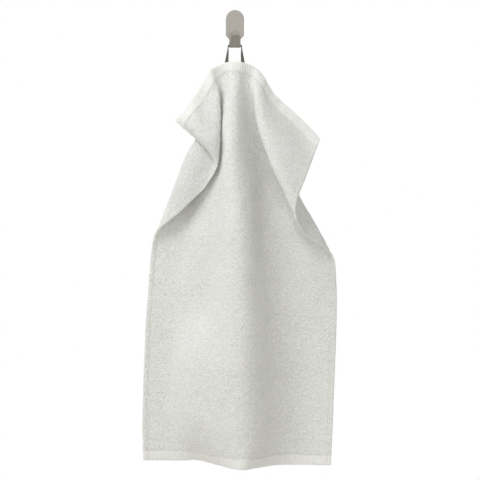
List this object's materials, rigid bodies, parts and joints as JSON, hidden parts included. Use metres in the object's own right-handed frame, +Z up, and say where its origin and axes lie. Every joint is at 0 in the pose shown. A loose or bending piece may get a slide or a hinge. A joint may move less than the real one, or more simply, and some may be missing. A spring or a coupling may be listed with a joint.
{
  "type": "hand towel on wall hook",
  "caption": "White terry hand towel draped in soft folds, hung by a narrow tape loop over a bent steel wall hook.",
  "frame": {"origin": "middle of the back face of the hook's plate, where it lies on the wall", "axes": "+X to the right along the wall, +Y into the wall, +Z up; the towel hangs on the -Y side"},
  "size_m": [0.3339, 0.0932, 0.7847],
  "materials": {
    "terry_cotton": "white looped cotton terry with plain stitched hems",
    "twill_tape": "grey-brown cotton twill tape",
    "satin_steel": "satin light grey metal"
  },
  "bodies": {
    "root": {"towel": "terry_cotton", "hanging_loop": "twill_tape", "hook": "satin_steel"}
  },
  "joints": []
}
